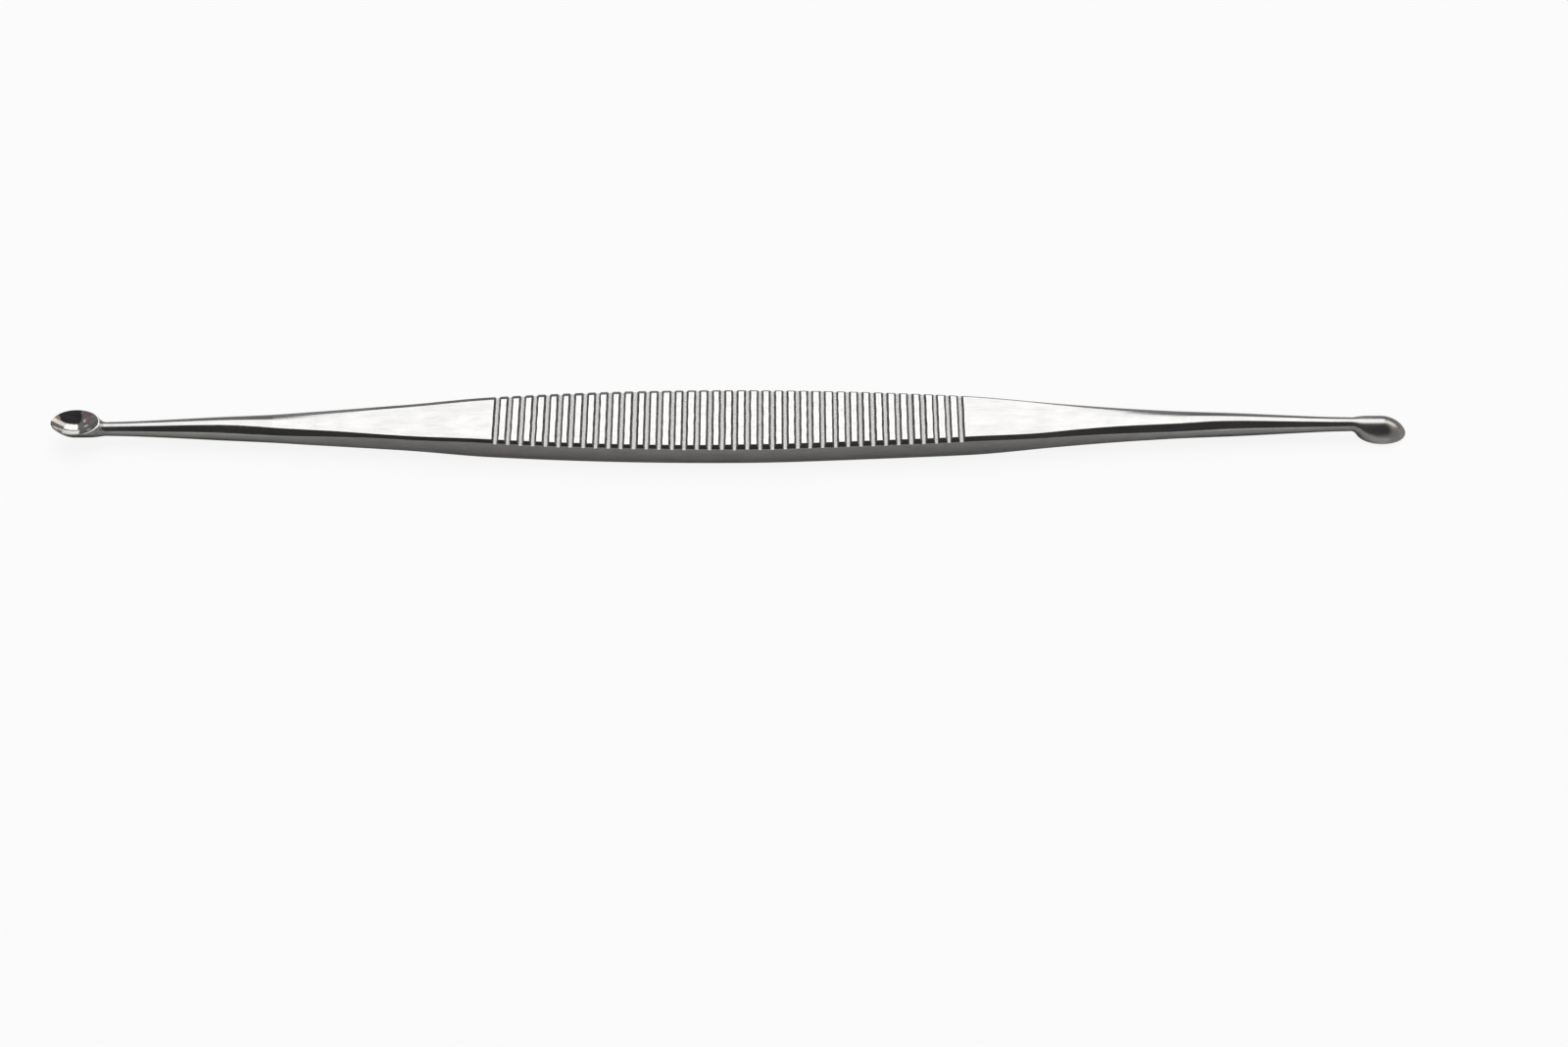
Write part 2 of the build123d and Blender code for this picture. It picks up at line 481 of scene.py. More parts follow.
def outside_half(distance, spoon):
    """Outline of one half section, from its top or its rim down to the keel."""
    along = distance - spoon["middle"]
    rim, half = spoon["rim"], spoon["width"] / 2
    if along >= 0:
        offset = off_middle(along, spoon)
        reach = sqrt(max(half**2 - offset**2, 0.0))
        curve = bowl_quarter(half, rim + neck_radius, bowl_fullness)
        ys = [reach * cos(pi / 2 * step) for step in steps_up]
        return [(y, rim + bowl_height(hypot(y, offset), curve)) for y in ys]
    u = min(-along / (spoon["length"] / 2), 1.0)
    rim_reach = half * sqrt(1 - u**2)
    rise = min(max(distance - neck_end, 0.0) / heel_blend, 1.0) ** 2
    body = neck_radius * (1 + (heel_flare - 1) * rise)
    reach = hypot(rim_reach, body * u**2)
    centre = rim * (1 - u**2)
    arch = neck_radius + (rim * reach / body - neck_radius) * rise
    lower = bowl_quarter(reach, centre + neck_radius, 1 + (bowl_fullness - 1) * (1 - u**2))
    upper = bowl_quarter(reach, arch, 1)
    above = [(y, centre - z) for y, z in (bezier(upper, share) for share in steps_up)]
    below = [(y, centre + z) for y, z in (bezier(lower, 1 - share) for share in steps_up)]
    if distance < heel:
        return above + below[1:]
    return [(rim_reach, rim)] + [point for point in above if point[1] < rim - 0.001] + below[1:]


print("rim to keel at the middle of the left spoon:",
      [round(v, 2) for v in outside_half(left_spoon["middle"], left_spoon)[0]])

# %% [markdown]
# A ring through the spoon runs over the rim, down the hollow, up again and round the
# outside. Its points have the same places as on the bar: the rim continues the edges
# of the side faces, and the hollow continues the upper face.

# %% Points at shares of a line
# Angles of the points on a half ring of the neck, in degrees: from the top to the corner
# that will become the rim, and from there down to the keel
neck_upper = [step * 2.25 for step in range(10)] + [22.5 + step * 11.25 for step in range(5)]
neck_lower = ([step * 7.5 for step in range(6)] + [45 + step * 11.25 for step in range(4)]
              + [90 + step * 2.25 for step in range(11)])
rim_angle, lower_angle = neck_upper[-1], neck_lower[-1]
half_lower = len(neck_lower) - 1
lip_places = [0, *range(20, 25), *range(64, 68)]  # from the hollow over both lips


def evenly(outline, shares):
    """Points at those shares of the length of an outline."""
    lengths = [0.0]
    for start, end in zip(outline, outline[1:]):
        lengths.append(lengths[-1] + hypot(end[0] - start[0], end[1] - start[1]))
    picked, step = [], 0
    for share in shares:
        wanted = share * lengths[-1]
        while step < len(outline) - 2 and lengths[step + 1] < wanted:
            step += 1
        part = (wanted - lengths[step]) / max(lengths[step + 1] - lengths[step], 1e-9)
        part = min(max(part, 0.0), 1.0)
        start, end = outline[step], outline[step + 1]
        picked.append((start[0] + (end[0] - start[0]) * part,
                       start[1] + (end[1] - start[1]) * part))
    return picked


print("a quarter of the way along a bend:", evenly([(0, 0), (1, 0), (1, 1)], [0.25]))

# %% Hollow and lip
def hollow_half(distance, spoon, edge, side):
    """Points from the middle of the hollow up to its rim and over the lip."""
    width = spoon["width"] / 2 - rim_wall
    offset = off_middle(distance - spoon["middle"] - hollow_shift[0], spoon)
    reach = sqrt(max(width**2 - offset**2, 0.0))
    shift = hollow_shift[1] * edge / (spoon["width"] / 2)
    curve = bowl_quarter(width, spoon["rim"] + neck_radius - floor_wall, hollow_fullness)
    points = []
    for step in range(11):
        y = reach * sin(pi / 2 * step / 10)
        depth = bowl_height(hypot(y, offset), curve) if reach > 0 else 0.0
        points.append((shift + side * y, spoon["rim"] + depth))
    lip_start = points[-1][0]
    lip = side * edge - lip_start
    points += [(lip_start + lip * step / 4,
                spoon["rim"] - lip_slope * min(abs(lip) * step / 4, lip_border))
               for step in range(1, 5)]
    return points


deepest = hollow_half(left_spoon["middle"], left_spoon, left_spoon["width"] / 2, 1)[0]
print("hollow of the left spoon, below its rim:", round(left_spoon["rim"] - deepest[1], 2))

# %% The ring of a spoon
def spoon_ring(distance, spoon):
    """The ring at a distance from the middle, for a spoon that opens upwards."""
    outline = outside_half(distance, spoon)
    swell = ease((distance - neck_end) / (spoon["middle"] - neck_end))
    lower = [a / lower_angle * (1 - swell) + step / half_lower * swell
             for step, a in enumerate(neck_lower)]
    if distance < heel:
        rim_share = rim_angle / 180 * (1 - max(distance - neck_end, 0.0) / heel_blend)
        top_far = evenly(outline, [rim_share * a / rim_angle for a in neck_upper])
        top_near = [(-y, z) for y, z in top_far]
        low_far = evenly(outline, [rim_share + (1 - rim_share) * share for share in lower])
    else:
        low_far = evenly(outline, lower)
        top_far = hollow_half(distance, spoon, low_far[0][0], 1)
        top_near = hollow_half(distance, spoon, low_far[0][0], -1)
    low_near = [(-y, z) for y, z in low_far]
    return (top_near[10:0:-1] + top_far + low_far[1:] + low_near[-2:0:-1] + top_near[14:10:-1])


print("points in a spoon ring:", len(spoon_ring(62, left_spoon)))

# %% [markdown]
# The rings of a spoon stand close together where a form closes: at the heel, at both
# ends of the hollow and at the tip. Evenly spaced rings would leave flat spots there.

# %% Places of the rings
def spoon_stations(spoon):
    middle = spoon["middle"] + hollow_shift[0]
    width = spoon["width"] / 2 - rim_wall
    back = width * spoon["length"] / spoon["width"]
    swelling = [neck_end + heel_blend * sin(pi / 2 * step / 10) for step in range(11)]
    heel_land = [heel + (middle - back - heel) * (step / 5)**2 for step in range(1, 5)]
    behind = [middle - back * cos(pi / 2 * step / 24) for step in range(24)]
    before = [middle + solve(lambda along: off_middle(along, spoon),
                             width * sin(pi / 2 * step / 24), spoon["length"] / 2)
              for step in range(25)]
    front = [spoon["tip"] - (spoon["tip"] - before[-1]) * (1 - step / 6)**2
             for step in range(1, 7)]
    return swelling + heel_land + behind + before + front


print("rings in a spoon:", len(spoon_stations(left_spoon)))

# %% [markdown]
# Where the neck meets the back of the bowl, the drawn curves would leave a fine crease.
# The real one was blended on a small wheel, so each ring near the heel takes the mean
# of the shapes a little behind and a little ahead of it.

# %% An even heel
heel_softness = 0.3          # how far behind and ahead the mean reaches
softened_length = 0.9        # on both sides of the heel
back_places = range(25, 64)  # between the two lips, round the back
fade_places = 5              # over these the mean fades out towards each lip


def soft_ring(distance, spoon):
    """A ring whose back is evened out round the heel, and whose lip is left alone."""
    ring = spoon_ring(distance, spoon)
    reach = heel_softness * bump(distance, heel, softened_length)
    if reach == 0:
        return ring
    others = [spoon_ring(distance + reach * step, spoon) for step in (-1, -0.5, 0.5, 1)]
    for place in back_places:
        from_lip = min(place - back_places.start + 1, back_places.stop - place)
        part = ease(from_lip / fade_places)
        evened = [sum(values) / 4 for values in zip(*(other[place] for other in others))]
        ring[place] = tuple(here + (even - here) * part
                            for here, even in zip(ring[place], evened))
    return ring


print("points in a softened ring:", len(soft_ring(heel, left_spoon)))

# %% All rings of a spoon
def turned_over(place):
    """The place on a ring that lies below a place above, and the other way round."""
    return (54 - place) % ring_size


def spoon_rings(spoon, side):
    """Rings of the left spoon for a side of -1, and of the right one for 1."""
    made = []
    for distance in spoon_stations(spoon):
        flat = soft_ring(distance, spoon)
        if side > 0:
            flat = [(flat[turned_over(place)][0], -flat[turned_over(place)][1])
                    for place in range(ring_size)]
        lips = lip_places if side < 0 else [turned_over(place) for place in lip_places]
        made.append(make_ring([(side * distance, y, z) for y, z in flat],
                              edge_places=lips if distance > heel else ()))
    return made


print("place below the middle of the upper face:", turned_over(10))

# %% [markdown]
# ## Rolling the skin
#
# The rings could be typed in as vertices and faces by hand. It is simpler to start
# from a flat grid: each row of the grid becomes one ring, and the sheet is rolled
# round the instrument. Merging the doubles then closes the long seam, both tips and
# the two ends of each hollow.
#
# Before it is rolled, the sheet shows which face will lie where, so this is also the
# moment to sort the faces into four finishes: the ground faces, the polished bevels and
# necks, the floors of the serrations, and the mirror-bright hollows of the spoons.

# %% Put the rings in a row
rings = (spoon_rings(left_spoon, -1)[::-1] + plain_rings([-x for x in reversed(shank_stations)])
         + grip_rings + plain_rings(shank_stations) + spoon_rings(right_spoon, 1))
ground_end = 44.0  # beyond this distance the faces have melted into the round shank
top_faces = range(0, 20)
lower_faces = range(34, 54)
flat_faces = [*top_faces, *range(24, 30), *lower_faces, *range(58, 64)]
ground, polished, cut, mirror = 0, 1, 2, 3


def hollow_faces(x):
    """Places of the faces inside a hollow: above on the left, below on the right."""
    if abs(x) < heel:
        return ()
    return top_faces if x < 0 else lower_faces


print("rings in all:", len(rings))

# %% Roll a grid round the instrument
skin = bmesh.new()
bmesh.ops.create_grid(skin, x_segments=len(rings) - 1, y_segments=ring_size, size=1)
edge_layer = skin.verts.layers.float.new("edge")
flank_layer = skin.verts.layers.float.new("flank")
sheet_places = {vertex: (round((vertex.co.x + 1) / 2 * (len(rings) - 1)),
                         round((vertex.co.y + 1) / 2 * ring_size)) for vertex in skin.verts}
for face in skin.faces:
    first = rings[min(sheet_places[vertex][0] for vertex in face.verts)]
    second = rings[max(sheet_places[vertex][0] for vertex in face.verts)]
    place = min(sheet_places[vertex][1] for vertex in face.verts)
    face.material_index = polished
    if place in flat_faces and abs(first["points"][0][0]) < ground_end:
        face.material_index = ground
    if place in hollow_faces(first["points"][0][0]):
        face.material_index = mirror
    if place in top_faces and first["groove"] is not None and first["groove"] == second["groove"]:
        face.material_index = cut
for vertex, (row, place) in sheet_places.items():
    ring = rings[row]
    x, y, z = ring["points"][place % ring_size]
    vertex.co = (x, y, z + axis_height)
    vertex[edge_layer] = ring["edges"][place % ring_size]
    vertex[flank_layer] = ring["flank"]
print("faces of the sheet:", len(skin.faces),
      "of them in the grooves:", sum(face.material_index == cut for face in skin.faces))

# %% Close and smooth the skin
sharp_angle = radians(60)
merge_distance = 0.0005
bmesh.ops.remove_doubles(skin, verts=skin.verts, dist=merge_distance)
bmesh.ops.dissolve_degenerate(skin, edges=skin.edges, dist=merge_distance)
bmesh.ops.recalc_face_normals(skin, faces=skin.faces)
bmesh.ops.scale(skin, vec=(mm, mm, mm), verts=skin.verts)
for face in skin.faces:
    face.smooth = True
for edge in skin.edges:
    edge.smooth = edge.calc_face_angle(0.0) < sharp_angle
open_edges = [edge for edge in skin.edges if len(edge.link_faces) != 2]
print("vertices:", len(skin.verts), "open edges:", len(open_edges),
      "volume in cubic mm:", round(skin.calc_volume() / mm**3, 1))

mesh = bpy.data.meshes.new("curette_skin")
skin.to_mesh(mesh)
skin.free()
curette = bpy.data.objects.new("curette_skin", mesh)
scene.collection.objects.link(curette)
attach(curette, "root")
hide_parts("curette")

# %% [markdown]
# ## What polished steel needs
#
# Steel has hardly any colour of its own. What the eye reads as steel is a sharp
# picture of the room, broken up by what was done to the surface: long grinding marks
# on the flat faces, fine pits in the roots of the serrations, cloudy patches from
# handling, and worn edges. The edges are also given a lighter colour than the faces
# beside them, which is a painted highlight along each edge.
#
# Each of these is a pattern that more than one finish uses, so each is made once as a
# node group and placed in the materials with its own values. All patterns are read in
# object coordinates, in metres, so their scale is the real one.

# %% A helper for node groups
def pattern_group(name, inputs, output):
    """An empty group with a vector input, number inputs and one output from 0 to 1."""
    group = bpy.data.node_groups.new(name, "ShaderNodeTree")
    group.interface.new_socket("Vector", in_out="INPUT", socket_type="NodeSocketVector")
    for socket_name, value in inputs.items():
        socket = group.interface.new_socket(socket_name, in_out="INPUT",
                                            socket_type="NodeSocketFloat")
        socket.default_value = value
    group.interface.new_socket(output, in_out="OUTPUT", socket_type="NodeSocketFloat")
    return group, group.nodes.new("NodeGroupInput"), group.nodes.new("NodeGroupOutput")


# %% Noise and contrast
def stretched_noise(group, start, scale_socket, stretch, detail):
    """Noise on the group's vector, stretched along the bar."""
    scaled = group.nodes.new("ShaderNodeVectorMath")
    scaled.operation = "MULTIPLY"
    scaled.inputs[1].default_value = (stretch, 1, 1)
    noise = group.nodes.new("ShaderNodeTexNoise")
    noise.inputs["Detail"].default_value = detail
    group.links.new(start.outputs["Vector"], scaled.inputs[0])
    group.links.new(scaled.outputs[0], noise.inputs["Vector"])
    group.links.new(start.outputs[scale_socket], noise.inputs["Scale"])
    return noise


def contrast(group, value, low, high):
    """Spreads the middle of a noise out to the full range from 0 to 1."""
    spread_out = group.nodes.new("ShaderNodeMapRange")
    spread_out.inputs["From Min"].default_value = low
    spread_out.inputs["From Max"].default_value = high
    group.links.new(value, spread_out.inputs["Value"])
    return spread_out.outputs["Result"]


# %% [markdown]
# Grinding marks run along the bar, because it was drawn lengthwise over the belt. The
# noise is squeezed to a thirtieth along X, so its blobs become long hairlines.

# %% Grinding marks
marks, start, end = pattern_group("grinding_marks", {"Fineness": 9000.0}, "Marks")
hairlines = stretched_noise(marks, start, "Fineness", 0.03, 3.0)
marks.links.new(contrast(marks, hairlines.outputs["Fac"], 0.32, 0.68), end.inputs["Marks"])
print("group:", marks.name)

# %% Cloudy patches
clouds, start, end = pattern_group("cloudy_patches", {"Fineness": 900.0}, "Clouds")
soft = stretched_noise(clouds, start, "Fineness", 0.35, 4.0)
clouds.links.new(contrast(clouds, soft.outputs["Fac"], 0.35, 0.65), end.inputs["Clouds"])
print("group:", clouds.name)

# %% Pits of a cut face
pits, start, end = pattern_group("torn_pits", {"Fineness": 9000.0}, "Pits")
grain = stretched_noise(pits, start, "Fineness", 1.0, 2.0)
pits.links.new(contrast(pits, grain.outputs["Fac"], 0.40, 0.60), end.inputs["Pits"])
print("group:", pits.name)

# %% [markdown]
# Where the painted shade of a flank meets a bright root, the border isn't a line but a
# torn edge. The group takes a smooth mask, shakes it with a fine noise and sharpens
# the result.

# %% Ragged border
ragged, start, end = pattern_group("ragged_border", {"Mask": 0.0, "Fineness": 7000.0}, "Border")
shaken = ragged.nodes.new("ShaderNodeMath")
shaken.operation = "MULTIPLY_ADD"
shaken.inputs[1].default_value = 0.9
fray = stretched_noise(ragged, start, "Fineness", 1.0, 1.0)
ragged.links.new(fray.outputs["Fac"], shaken.inputs[0])
ragged.links.new(start.outputs["Mask"], shaken.inputs[2])
ragged.links.new(contrast(ragged, shaken.outputs[0], 0.65, 1.25), end.inputs["Border"])
print("group:", ragged.name)

# %% [markdown]
# Worn edges follow the edge attribute of the skin, and a noise breaks them up, since
# no edge is rubbed evenly over its whole length. Where this mask lies the steel gets a
# lighter colour, so the mask is wear and a painted highlight along the edges at once.

# %% Worn edges with a painted highlight
wear_and_sheen, start, end = pattern_group("worn_edges_and_sheen", {"Edge": 0.0, "Fineness": 1500.0}, "Wear and sheen")
patchy = stretched_noise(wear_and_sheen, start, "Fineness", 0.5, 2.0)
broken = wear_and_sheen.nodes.new("ShaderNodeMath")
broken.operation = "MULTIPLY"
wear_and_sheen.links.new(start.outputs["Edge"], broken.inputs[0])
wear_and_sheen.links.new(contrast(wear_and_sheen, patchy.outputs["Fac"], 0.25, 0.60), broken.inputs[1])
wear_and_sheen.links.new(broken.outputs[0], end.inputs["Wear and sheen"])
print("group:", wear_and_sheen.name)

# %% [markdown]
# The last mask rises from 0 to 1 towards both ends of the bar, between two distances
# from its middle.

# %% Towards the ends
ends, start, end = pattern_group("towards_ends", {"Start": 0.05, "End": 0.06}, "Share")
split = ends.nodes.new("ShaderNodeSeparateXYZ")
size = ends.nodes.new("ShaderNodeMath")
size.operation = "ABSOLUTE"
rise = ends.nodes.new("ShaderNodeMapRange")
rise.interpolation_type = "SMOOTHSTEP"
ends.links.new(start.outputs["Vector"], split.inputs[0])
ends.links.new(split.outputs["X"], size.inputs[0])
ends.links.new(size.outputs[0], rise.inputs["Value"])
ends.links.new(start.outputs["Start"], rise.inputs["From Min"])
ends.links.new(start.outputs["End"], rise.inputs["From Max"])
ends.links.new(rise.outputs["Result"], end.inputs["Share"])
print("group:", ends.name)

# %% A helper for finishes
class Finish:
    """A steel material with short ways to place patterns and blend values."""

    def __init__(self, name):
        self.material = bpy.data.materials.new(name)
        self.material.use_nodes = True
        self.nodes = self.material.node_tree.nodes
        self.links = self.material.node_tree.links
        self.surface = self.nodes["Principled BSDF"]
        self.surface.inputs["Metallic"].default_value = 1.0
        self.place = self.nodes.new("ShaderNodeTexCoord").outputs["Object"]

    def pattern(self, group, **values):
        node = self.nodes.new("ShaderNodeGroup")
        node.node_tree = group
        self.links.new(self.place, node.inputs["Vector"])
        for socket, value in values.items():
            if isinstance(value, float):
                node.inputs[socket].default_value = value
            else:
                self.links.new(value, node.inputs[socket])
        return node.outputs[0]

    def attribute(self, name):
        node = self.nodes.new("ShaderNodeAttribute")
        node.attribute_name = name
        return node.outputs["Fac"]

    def colour(self, mask, dark, light):
        node = self.nodes.new("ShaderNodeMix")
        node.data_type = "RGBA"
        self.links.new(mask, node.inputs["Factor"])
        for socket, value in ((node.inputs[6], dark), (node.inputs[7], light)):
            if isinstance(value, tuple):
                socket.default_value = (*value, 1)
            else:
                self.links.new(value, socket)
        return node.outputs[2]

    def number(self, mask, low, high):
        node = self.nodes.new("ShaderNodeMapRange")
        self.links.new(mask, node.inputs["Value"])
        for socket, value in ((node.inputs["To Min"], low), (node.inputs["To Max"], high)):
            if isinstance(value, float):
                socket.default_value = value
            else:
                self.links.new(value, socket)
        return node.outputs["Result"]

    def relief(self, height, depth):
        node = self.nodes.new("ShaderNodeBump")
        node.inputs["Distance"].default_value = depth
        self.links.new(height, node.inputs["Height"])
        self.links.new(node.outputs["Normal"], self.surface.inputs["Normal"])

    def finish(self, colour, roughness):
        self.links.new(colour, self.surface.inputs["Base Color"])
        self.links.new(roughness, self.surface.inputs["Roughness"])
        mesh.materials.append(self.material)
        print("finish:", self.material.name, len(self.nodes), "nodes")


# %% [markdown]
# ## Four finishes
#
# **Ground steel** covers the flat faces. Its marks show as a faint streaked grey in the
# colour, as streaks in the gloss and as a shallow relief.
#
# **Polished steel** covers the bevels, the necks and the backs of the spoons. The backs
# were only brushed, so the gloss softens over the last few millimetres of each neck.
#
# ** Cut steel** covers the grooves. The flanks get a dark colour, a painted shade for
# the shade inside the cuts, the roots are bright and pitted, and the flank shade
# attribute blends between the two.
#
# **Mirror steel** lines the hollows, which were polished with a small felt bob.

# %% Ground steel
face_dark, face_light = (0.64, 0.635, 0.625), (0.80, 0.797, 0.79)
# lighter colour of worn edges, partly wear and partly a painted highlight along each edge
worn_and_sheen_bright = (0.88, 0.878, 0.87)
ground_steel = Finish("ground_steel")
hair = ground_steel.pattern(marks, Fineness=8000.0)
cloud = ground_steel.pattern(clouds, Fineness=1400.0)
# edge mask: worn edges that also get a painted highlight
rubbed_and_sheen = ground_steel.pattern(wear_and_sheen, Edge=ground_steel.attribute("edge"))
streaked = ground_steel.colour(hair, face_dark, face_light)
mottled = ground_steel.colour(cloud, streaked, face_light)
ground_steel.relief(hair, 1.2e-6)
ground_steel.finish(ground_steel.colour(rubbed_and_sheen, mottled, worn_and_sheen_bright),
                    ground_steel.number(rubbed_and_sheen, ground_steel.number(hair, 0.16, 0.25), 0.14))

# %% Polished steel
shine_dark, shine_light = (0.68, 0.673, 0.663), (0.76, 0.757, 0.75)
polished_steel = Finish("polished_steel")
hair = polished_steel.pattern(marks, Fineness=12000.0)
cloud = polished_steel.pattern(clouds, Fineness=1100.0)
# edge mask: worn edges that also get a painted highlight
rubbed_and_sheen = polished_steel.pattern(wear_and_sheen, Edge=polished_steel.attribute("edge"))
tone = polished_steel.colour(cloud, shine_dark, shine_light)
polished_steel.relief(hair, 4e-7)
brushed = polished_steel.pattern(ends, Start=55.0 * mm, End=61.0 * mm)
polished_steel.finish(polished_steel.colour(rubbed_and_sheen, tone, worn_and_sheen_bright),
                      polished_steel.number(brushed, polished_steel.number(cloud, 0.10, 0.16),
                                            polished_steel.number(cloud, 0.22, 0.30)))

# %% Cut steel
cut_steel = Finish("cut_steel")
pit = cut_steel.pattern(pits, Fineness=9000.0)
tear = cut_steel.pattern(pits, Fineness=4000.0)
root = cut_steel.colour(pit, (0.55, 0.545, 0.535), (0.90, 0.895, 0.885))
# painted shade: the flanks' dark colour stands for the shade inside the cuts
flank = cut_steel.colour(tear, (0.16, 0.155, 0.15), (0.42, 0.415, 0.405))
cut_steel.relief(pit, 3e-6)
border = cut_steel.pattern(ragged, Mask=cut_steel.attribute("flank"), Fineness=7000.0)
cut_steel.finish(cut_steel.colour(border, root, flank),
                 cut_steel.number(pit, 0.32, 0.45))

# %% Mirror steel
mirror_steel = Finish("mirror_steel")
cloud = mirror_steel.pattern(clouds, Fineness=1600.0)
hair = mirror_steel.pattern(marks, Fineness=14000.0)
mirror_steel.relief(cloud, 6e-6)
mirror_steel.finish(mirror_steel.colour(cloud, (0.70, 0.69, 0.68), (0.80, 0.797, 0.79)),
                    mirror_steel.number(hair, 0.06, 0.12))

# %% [markdown]
# ## The floor
#
# The instrument lies on a sheet of white paper. To the camera the sheet is nearly pure
# white, as in a catalogue picture, and only a faint contact shadow is left on it. To
# every other ray its colour is painted down to grey, a painted shade for the shade that
# the instrument casts on the paper close by, which is what the sides of the steel mirror.

# %% Floor
floor_mesh = bmesh.new()
bmesh.ops.create_grid(floor_mesh, x_segments=2, y_segments=2, size=3)
floor_data = bpy.data.meshes.new("floor")
floor_mesh.to_mesh(floor_data)
floor_mesh.free()
floor = bpy.data.objects.new("floor", floor_data)
scene.collection.objects.link(floor)
print("floor:", tuple(floor.dimensions))

# %% Paper of the floor
paper_share = 0.88  # of the white that doesn't depend on the light
paper = bpy.data.materials.new("paper")
paper.use_nodes = True
nodes, links = paper.node_tree.nodes, paper.node_tree.links
matt = nodes["Principled BSDF"]
matt.inputs["Roughness"].default_value = 1.0
matt.inputs["Specular IOR Level"].default_value = 0.0
path = nodes.new("ShaderNodeLightPath")
tone = nodes.new("ShaderNodeMix")
tone.data_type = "RGBA"
# painted shade: rays other than the camera's see the paper in this dark grey
tone.inputs[6].default_value = (0.31, 0.303, 0.295, 1)
tone.inputs[7].default_value = (0.9, 0.9, 0.9, 1)
links.new(path.outputs["Is Camera Ray"], tone.inputs["Factor"])
links.new(tone.outputs[2], matt.inputs["Base Color"])
glow = nodes.new("ShaderNodeMath")
glow.operation = "MULTIPLY"
glow.inputs[1].default_value = paper_share
links.new(path.outputs["Is Camera Ray"], glow.inputs[0])
white = nodes.new("ShaderNodeEmission")
blend = nodes.new("ShaderNodeMixShader")
links.new(glow.outputs[0], blend.inputs[0])
links.new(matt.outputs[0], blend.inputs[1])
links.new(white.outputs[0], blend.inputs[2])
links.new(blend.outputs[0], nodes["Material Output"].inputs["Surface"])
floor_data.materials.append(paper)
print("paper:", len(nodes), "nodes")

# %% [markdown]
# ## Light for a mirror
#
# A dull object is lit by lamps. A polished one shows the room, so the room is what has
# to be built: a long soft box above and behind, which fills the upper faces with
# white, and dark and grey boards round it, which draw the black and grey bands along
# the bevels and necks.
#
# The boards are seen by mirror reflections only, and each glows by about the grey that
# the steel should show. So they shape the steel and leave the light on everything else
# as it is: the world, the soft box and a fill lamp behind it together give the level at
# which a colour looks as it was mixed. The fill lamp comes from behind too, so
# the paper in front of the instrument lies in its shadow, and the side faces, which
# mirror that strip, grow darker towards the bottom.

# %% World
world = bpy.data.worlds.new("studio")
scene.world = world
world.use_nodes = True
sky = world.node_tree.nodes["Background"]
sky.inputs["Color"].default_value = (1, 1, 1, 1)
path = world.node_tree.nodes.new("ShaderNodeLightPath")
level = world.node_tree.nodes.new("ShaderNodeMapRange")
level.inputs["To Min"].default_value = 0.3
level.inputs["To Max"].default_value = 1.0
world.node_tree.links.new(path.outputs["Is Camera Ray"], level.inputs["Value"])
world.node_tree.links.new(level.outputs["Result"], sky.inputs["Strength"])
print("world: white for the camera, and", level.inputs["To Min"].default_value, "as light")

# %% Soft box and fill
def area_lamp(name, angle, distance, ends, width, brightness):
    """A rectangular lamp along the bar. Its angle rises from the front horizon over
    the top, and its brightness is what a mirror would show."""
    length = ends[1] - ends[0]
    data = bpy.data.lights.new(name, "AREA")
    data.shape = "RECTANGLE"
    data.size, data.size_y = length, width
    data.energy = brightness * pi * length * width
    lamp = bpy.data.objects.new(name, data)
    scene.collection.objects.link(lamp)
    a = radians(angle)
    lamp.location = (sum(ends) / 2, -distance * cos(a), distance * sin(a))
    lamp.rotation_euler = (radians(90 - angle), 0, 0)
    lamp.visible_camera = False
    print(f"{name}: {length:.2f} by {width:.2f} m, {data.energy:.1f} W")
    return lamp


area_lamp("softbox", 114.5, 0.9, (-0.34, 0.40), 1.8 * tan(radians(26.5)), 1.16)
fill = area_lamp("fill", 125, 1.2, (-0.6, 0.6), 1.2, 1.4)
fill.visible_glossy = False

# %% [markdown]
# A hard-edged board would show as a hard-edged patch in the hollow of a spoon, and no
# room looks like that. So each board starts as a grid that is bent round the
# instrument, with its corners rounded off. It keeps how far each point lies inside its
# border, and the felt grows transparent there, along a ragged line. The felt itself is
# a glow of uneven strength.

# %% Felt of a board
unevenness = 0.3


def felt(name, colour):
    """A glowing cloth with uneven colour that fades out at its border."""
    made = bpy.data.materials.new(name)
    made.use_nodes = True
    nodes, links = made.node_tree.nodes, made.node_tree.links
    place = nodes.new("ShaderNodeTexCoord").outputs["Object"]
    attribute = nodes.new("ShaderNodeAttribute")
    attribute.attribute_name = "inside"
    border = nodes.new("ShaderNodeGroup")
    border.node_tree = ragged
    border.inputs["Fineness"].default_value = 7.0
    patches = nodes.new("ShaderNodeGroup")
    patches.node_tree = clouds
    patches.inputs["Fineness"].default_value = 4.0
    tone = nodes.new("ShaderNodeMix")
    tone.data_type = "RGBA"
    tone.inputs[6].default_value = (*(value * (1 - unevenness) for value in colour), 1)
    tone.inputs[7].default_value = (*(value * (1 + unevenness) for value in colour), 1)
    shade = nodes.new("ShaderNodeEmission")
    clear = nodes.new("ShaderNodeBsdfTransparent")
    blend = nodes.new("ShaderNodeMixShader")
    links.new(place, border.inputs["Vector"])
    links.new(place, patches.inputs["Vector"])
    links.new(attribute.outputs["Fac"], border.inputs["Mask"])
    links.new(patches.outputs[0], tone.inputs["Factor"])
    links.new(tone.outputs[2], shade.inputs["Color"])
    links.new(border.outputs[0], blend.inputs[0])
    links.new(clear.outputs[0], blend.inputs[1])
    links.new(shade.outputs[0], blend.inputs[2])
    links.new(blend.outputs[0], nodes["Material Output"].inputs["Surface"])
    return made


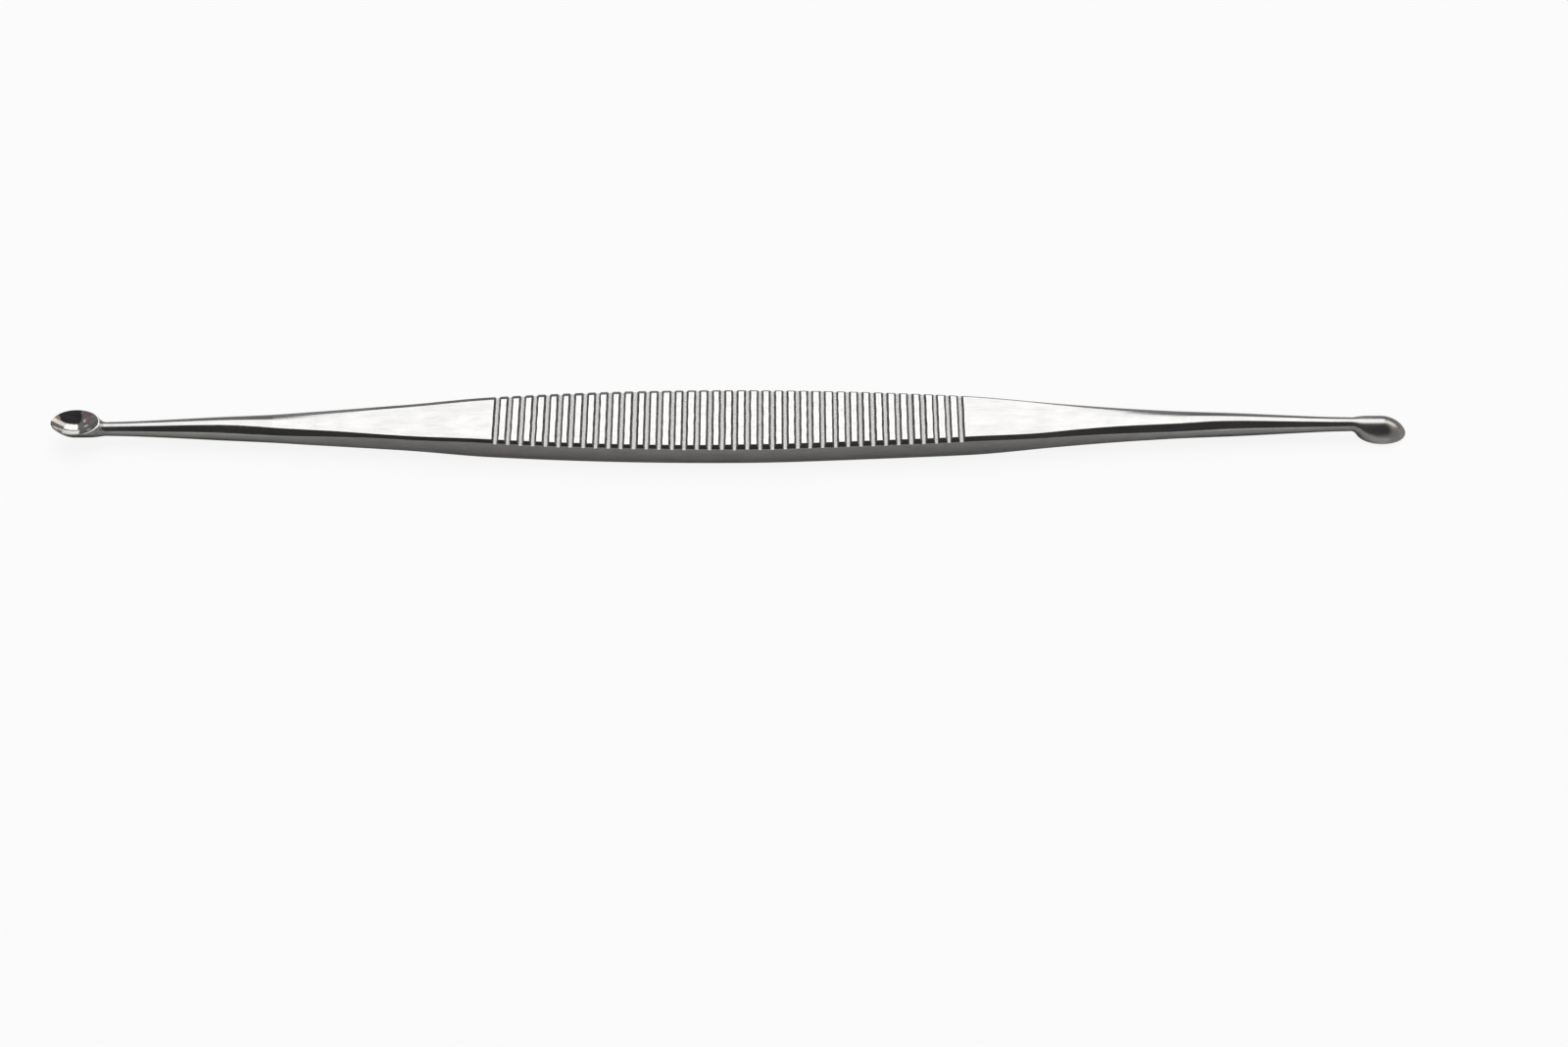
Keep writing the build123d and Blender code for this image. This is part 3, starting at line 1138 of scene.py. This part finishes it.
# %% A helper for boards
def board(name, angles, ends, radius, colour, softness=0.12, roundness=8):
    """A bent board round the length of the instrument. Angles rise from the front
    horizon over the top to the back, and the ends are its left and right end."""
    sheet = bmesh.new()
    bmesh.ops.create_grid(sheet, x_segments=32, y_segments=32, size=1)
    inside = sheet.verts.layers.float.new("inside")
    for vertex in sheet.verts:
        u, v = vertex.co.x, vertex.co.y
        vertex[inside] = (1 - max(abs(u), abs(v))) / softness
        u *= max(1 - abs(v)**roundness, 0.0) ** (1 / roundness)
        a = radians(sum(angles) / 2 + v * (angles[1] - angles[0]) / 2)
        x = sum(ends) / 2 + u * (ends[1] - ends[0]) / 2
        vertex.co = (x, -radius * cos(a), radius * sin(a))
    data = bpy.data.meshes.new(name)
    sheet.to_mesh(data)
    sheet.free()
    made = bpy.data.objects.new(name, data)
    scene.collection.objects.link(made)
    made.visible_camera = False
    made.visible_diffuse = False
    made.visible_shadow = False
    data.materials.append(felt(name, colour))
    print(name, "board from", angles[0], "to", angles[1], "degrees")


# %% [markdown]
# The room closes the space behind everything else. The dark board in front gives the
# black bands of the bevels and necks, and the low one the thin light line at the top of
# the side faces. The others stand beyond the two ends, where only the spoons see them.

# %% Boards
board("room", (0, 180), (-8, 8), 1.4, (0.17, 0.166, 0.162), softness=0.01, roundness=40)
board("low_front", (-6, 9), (-0.8, 0.8), 0.93, (0.36, 0.355, 0.345))
board("dark_front", (7, 88), (-0.60, 0.95), 0.95, (0.036, 0.035, 0.036), roundness=4)
board("mauve_left", (10, 92), (-1.7, -0.5), 1.0, (0.17, 0.125, 0.138), softness=0.4, roundness=3)
board("pale_left_low", (56, 82), (-1.0, -0.72), 0.97, (0.6, 0.6, 0.59), softness=0.6, roundness=2)
board("pale_left_high", (106, 138), (-1.25, -0.72), 0.97, (0.7, 0.69, 0.68), softness=0.6,
      roundness=2)
board("pale_right", (84, 130), (0.40, 2.6), 0.97, (1.0, 0.96, 0.89), softness=0.06, roundness=4)
board("warm_right", (52, 96), (0.9, 1.8), 1.0, (0.44, 0.33, 0.21), softness=0.5, roundness=2)

# %% [markdown]
# ## The camera
#
# A long lens, nearly fifty degrees above the table, as in the picture that the model
# follows. Its place is worked out from three things: how many pixels a millimetre
# takes, how long the lens is in pixels, and where the middle of the object lies.

# %% Camera
lens_pixels = 3600
photo_width = 1600
scale_pixels = 10.638                   # pixels to the millimetre
object_middle = (744 - 800, 534 - 435)  # of the object, from the middle of the picture
elevation = radians(48)
distance = lens_pixels / scale_pixels * mm
tilt = elevation + object_middle[1] / lens_pixels
camera_data = bpy.data.cameras.new("camera")
camera_data.sensor_width = 36
camera_data.lens = lens_pixels / photo_width * 36
camera_data.clip_start = 0.01
camera = bpy.data.objects.new("camera", camera_data)
scene.collection.objects.link(camera)
camera.location = (-object_middle[0] / scale_pixels * mm, -distance * cos(elevation),
                   axis_height * mm + distance * sin(elevation))
camera.rotation_mode = "XYZ"
camera.rotation_euler = (radians(90) - tilt, 0, 0)
camera.rotation_euler.rotate_axis("Z", radians(-0.22))
scene.camera = camera
scene.view_settings.view_transform = "Standard"
print(f"camera {distance:.3f} m away, lens {camera_data.lens:.0f} mm")
